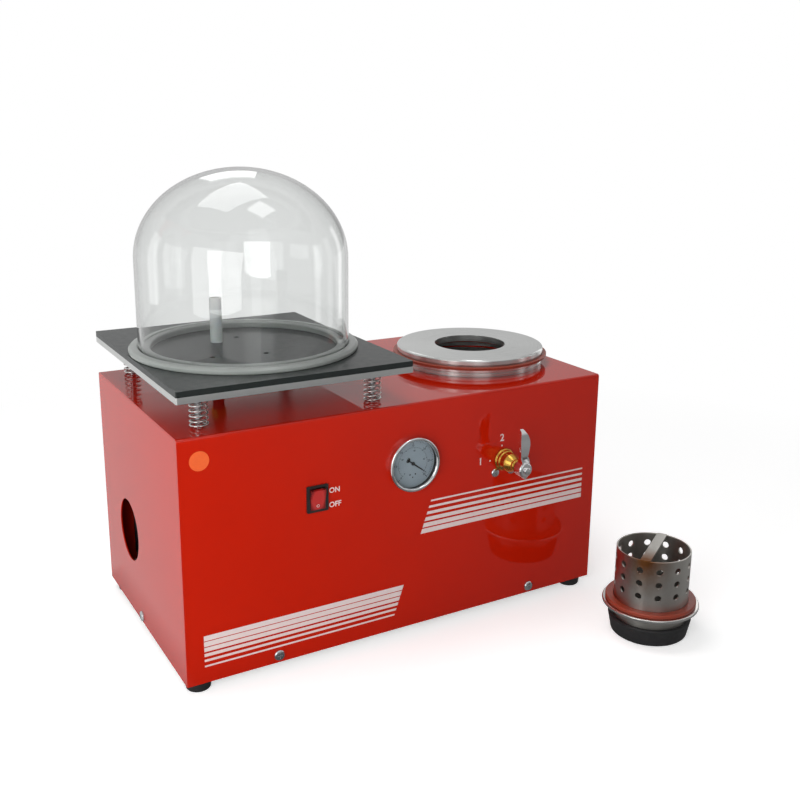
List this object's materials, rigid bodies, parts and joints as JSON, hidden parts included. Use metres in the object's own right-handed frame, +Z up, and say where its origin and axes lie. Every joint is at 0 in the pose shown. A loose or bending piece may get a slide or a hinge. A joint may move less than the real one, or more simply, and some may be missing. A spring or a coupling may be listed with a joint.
{
  "type": "jewelry vacuum casting machine",
  "caption": "Benchtop vacuum machine: clear bell jar on a sprung investing table, casting chamber with adapter plate, valve, gauge, switch and a perforated flask on its base.",
  "frame": {"origin": "middle of the whole set's footprint, on the bench", "axes": "+X to the right along the front, +Y to the back, +Z up; the control panel faces -Y"},
  "size_m": [0.6022, 0.501, 0.5512],
  "materials": {
    "red_paint": "high gloss red powder coat",
    "grey_steel": "satin grey",
    "black_rubber": "matt",
    "bright_steel": "bright",
    "turned_aluminium": "fine turned",
    "brass": "polished",
    "black_plastic": "fine grain",
    "chrome": "polished",
    "dial_face": "matt pale blue grey",
    "clear_plastic": "clear, polished",
    "black_paint": "satin black",
    "copper_winding": "enamelled",
    "white_plastic": "smooth",
    "milky_rubber": "satin, translucent",
    "red_silicone": "satin",
    "red_plastic": "gloss, translucent",
    "perforated_steel": "brushed, lightly heat tinted"
  },
  "bodies": {
    "machine": {"cover": "red_paint", "left_end_panel": "red_paint", "right_end_panel": "red_paint", "base_pan": "grey_steel", "feet": "black_rubber", "foot_screws": "bright_steel", "case_screws": "bright_steel", "chamber_ring": "turned_aluminium", "chamber_can": "bright_steel", "inner_bolts": "bright_steel", "hose_fittings": "brass", "valve_body": "brass", "valve_bonnet": "brass", "valve_screws": "bright_steel", "valve_fittings": "brass", "gauge_case": "black_plastic", "gauge_movement": "brass", "gauge_bezel": "chrome", "gauge_dial": "dial_face", "gauge_glass": "clear_plastic", "gauge_clamp": "grey_steel", "switch_body": "black_plastic", "power_inlet": "black_plastic", "pump_case": "black_paint", "sight_glass": "clear_plastic", "pump_plugs": "brass", "pump_flange": "grey_steel", "pump_stator": "grey_steel", "motor_frame": "black_paint", "motor_core": "copper_winding", "motor_end_bells": "black_paint", "fan_cowl": "black_plastic", "mount_pads": "black_rubber", "capacitor": "turned_aluminium", "pump_hoses": "black_rubber", "chamber_hose": "black_rubber", "table_line": "black_rubber", "table_hose": "black_rubber", "wiring": "black_plastic", "table_springs": "bright_steel"},
    "table": {"table_plate": "turned_aluminium", "table_mat": "black_rubber", "table_bolts": "bright_steel", "standpipe": "white_plastic", "table_barb": "brass"},
    "jar": {"bell_jar": "clear_plastic", "jar_gasket": "milky_rubber"},
    "pump_shaft": {"motor_rotor": "bright_steel", "motor_fan": "black_plastic", "pump_rotor": "bright_steel"},
    "lever": {"valve_plug": "brass", "valve_lever": "chrome"},
    "switch_rocker": {"rocker": "red_plastic"},
    "gauge_pointer": {"pointer": "black_plastic"},
    "chamber_disc": {"chamber_gasket": "red_silicone"},
    "adapter": {"adapter_plate": "turned_aluminium"},
    "flask_foot": {"sprue_base": "black_rubber"},
    "flask": {"flask_can": "perforated_steel", "flask_flange": "perforated_steel"},
    "flask_seal": {"flask_gasket": "red_silicone"}
  },
  "joints": [
    {"name": "table_bounce", "type": "slide", "parent": "machine", "child": "table", "axis": [0, 0, 1], "range_m": [-0.006, 0.002], "stiffness_N_per_m": 5300, "springref_m": 0.0077, "deforming": ["table_springs", "table_hose"]},
    {"name": "jar_lift", "type": "slide", "parent": "table", "child": "jar", "axis": [0, 0, 1], "range_m": [0, 0.25]},
    {"name": "shaft_spin", "type": "hinge", "parent": "machine", "child": "pump_shaft", "pos_m": [-0.2759, 0.1395, 0.1187], "axis": [1, 0, 0], "continuous": true},
    {"name": "lever_turn", "type": "hinge", "parent": "machine", "child": "lever", "pos_m": [0.1086, -0.0625, 0.2027], "axis": [0, 1, 0], "range_deg": [-90, 90]},
    {"name": "rocker_tilt", "type": "hinge", "parent": "machine", "child": "switch_rocker", "pos_m": [-0.1426, -0.0617, 0.1999], "axis": [1, 0, 0], "range_deg": [-20, 0]},
    {"name": "pointer_turn", "type": "hinge", "parent": "machine", "child": "gauge_pointer", "pos_m": [-0.0203, -0.0625, 0.2191], "axis": [0, -1, 0], "range_deg": [0, 270], "stiffness_Nm_per_rad": 0.0005},
    {"name": "disc_lift", "type": "slide", "parent": "machine", "child": "chamber_disc", "axis": [0, 0, 1], "range_m": [0, 0.06]},
    {"name": "adapter_lift", "type": "slide", "parent": "chamber_disc", "child": "adapter", "axis": [0, 0, 1], "range_m": [0, 0.06]},
    {"name": "flask_foot_lift", "type": "slide", "parent": "machine", "child": "flask_foot", "axis": [0, 0, 1], "range_m": [0, 0.05]},
    {"name": "flask_lift", "type": "slide", "parent": "flask_foot", "child": "flask", "axis": [0, 0, 1], "range_m": [0, 0.12]},
    {"name": "flask_seal_slide", "type": "slide", "parent": "flask", "child": "flask_seal", "axis": [0, 0, 1], "range_m": [0, 0.09]}
  ]
}
